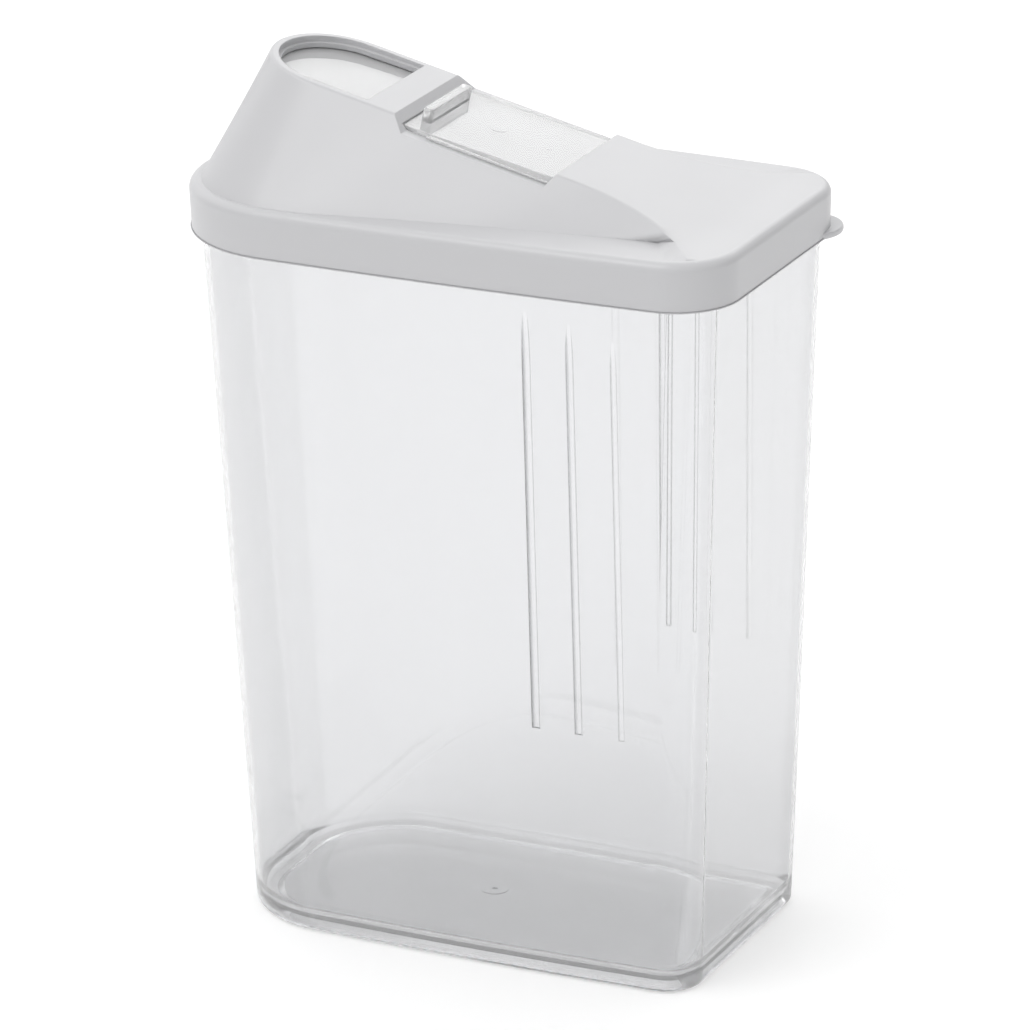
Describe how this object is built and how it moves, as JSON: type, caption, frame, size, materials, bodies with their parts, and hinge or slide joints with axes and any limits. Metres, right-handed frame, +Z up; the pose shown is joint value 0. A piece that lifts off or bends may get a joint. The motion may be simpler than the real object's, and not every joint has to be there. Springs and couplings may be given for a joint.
{
  "type": "upright cereal container with sliding pour shutter",
  "caption": "Tall clear dry-food container with a grey press-on lid, whose raised spout is closed by a clear sliding shutter.",
  "frame": {"origin": "middle of the base, on the surface the container stands on", "axes": "+Z up through the mouth, -X towards the spout end, +X towards the grip end, +Y to the left of a person who looks along +X"},
  "size_m": [0.1923, 0.1068, 0.2764],
  "materials": {
    "clear_body": "clear gloss",
    "grey_lid": "satin",
    "clear_shutter": "clear gloss"
  },
  "bodies": {
    "container": {"container": "clear_body"},
    "lid": {"lid": "grey_lid"},
    "shutter": {"shutter": "clear_shutter"}
  },
  "joints": [
    {"name": "lid_lift", "type": "slide", "parent": "container", "child": "lid", "axis": [0, 0, 1], "range_m": [0, 0.06]},
    {"name": "shutter_slide", "type": "slide", "parent": "lid", "child": "shutter", "axis": [0.9736, 0, -0.2284], "range_m": [0, 0.042]}
  ]
}
